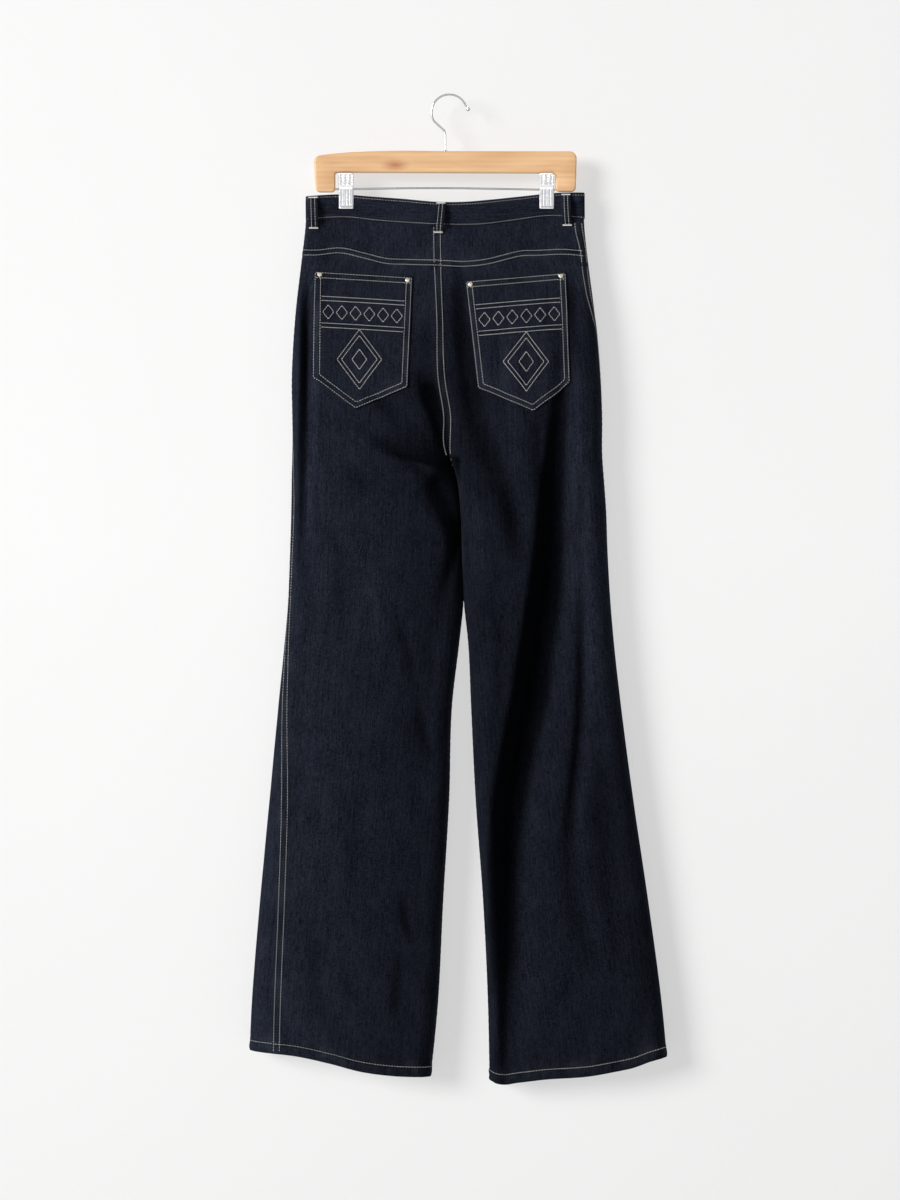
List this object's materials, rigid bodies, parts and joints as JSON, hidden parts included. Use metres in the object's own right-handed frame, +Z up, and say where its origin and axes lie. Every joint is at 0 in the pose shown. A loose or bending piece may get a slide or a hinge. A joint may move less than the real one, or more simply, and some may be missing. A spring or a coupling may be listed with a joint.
{
  "type": "wide leg jeans on a clip hanger",
  "caption": "High-rise wide leg denim jeans with back yoke and five-sided patch pockets, clipped by the waistband to a wooden bar hanger that hangs from its wire hook.",
  "frame": {"origin": "inside of the crest of the hanger's hook, where a rail or a wall hook carries it", "axes": "+Z up, along the jeans from hem to waist; -Y is the side that the picture shows, the back of the jeans; +X to the right as the back is seen"},
  "size_m": [0.5627, 0.0577, 1.337],
  "materials": {
    "denim": "dark indigo cotton twill, unwashed, matt with a faint blue cast",
    "thread": "cream cotton topstitching thread, slightly waxed",
    "trim_metal": "pale antique metal, softly polished",
    "pale_wood": "honey-coloured hardwood under a satin clear coat",
    "bright_steel": "bright plated steel"
  },
  "bodies": {
    "root": {"back_leg_left": "denim", "back_leg_right": "denim", "front_leg_left": "denim", "front_leg_right": "denim", "yoke_left": "denim", "yoke_right": "denim", "waistband": "denim", "pocket_left": "denim", "pocket_right": "denim", "fly": "denim", "belt_loop_back_left": "denim", "belt_loop_back_centre": "denim", "belt_loop_back_right": "denim", "belt_loop_front_left": "denim", "belt_loop_front_right": "denim", "pocket_left_rivet_a": "trim_metal", "pocket_left_rivet_b": "trim_metal", "pocket_right_rivet_a": "trim_metal", "pocket_right_rivet_b": "trim_metal", "waist_button": "trim_metal", "hanger_bar": "pale_wood", "hanger_hook": "bright_steel", "clip_rod": "bright_steel", "clip_left_back_jaw": "bright_steel", "clip_left_front_jaw": "bright_steel", "clip_right_back_jaw": "bright_steel", "clip_right_front_jaw": "bright_steel"}
  },
  "joints": []
}
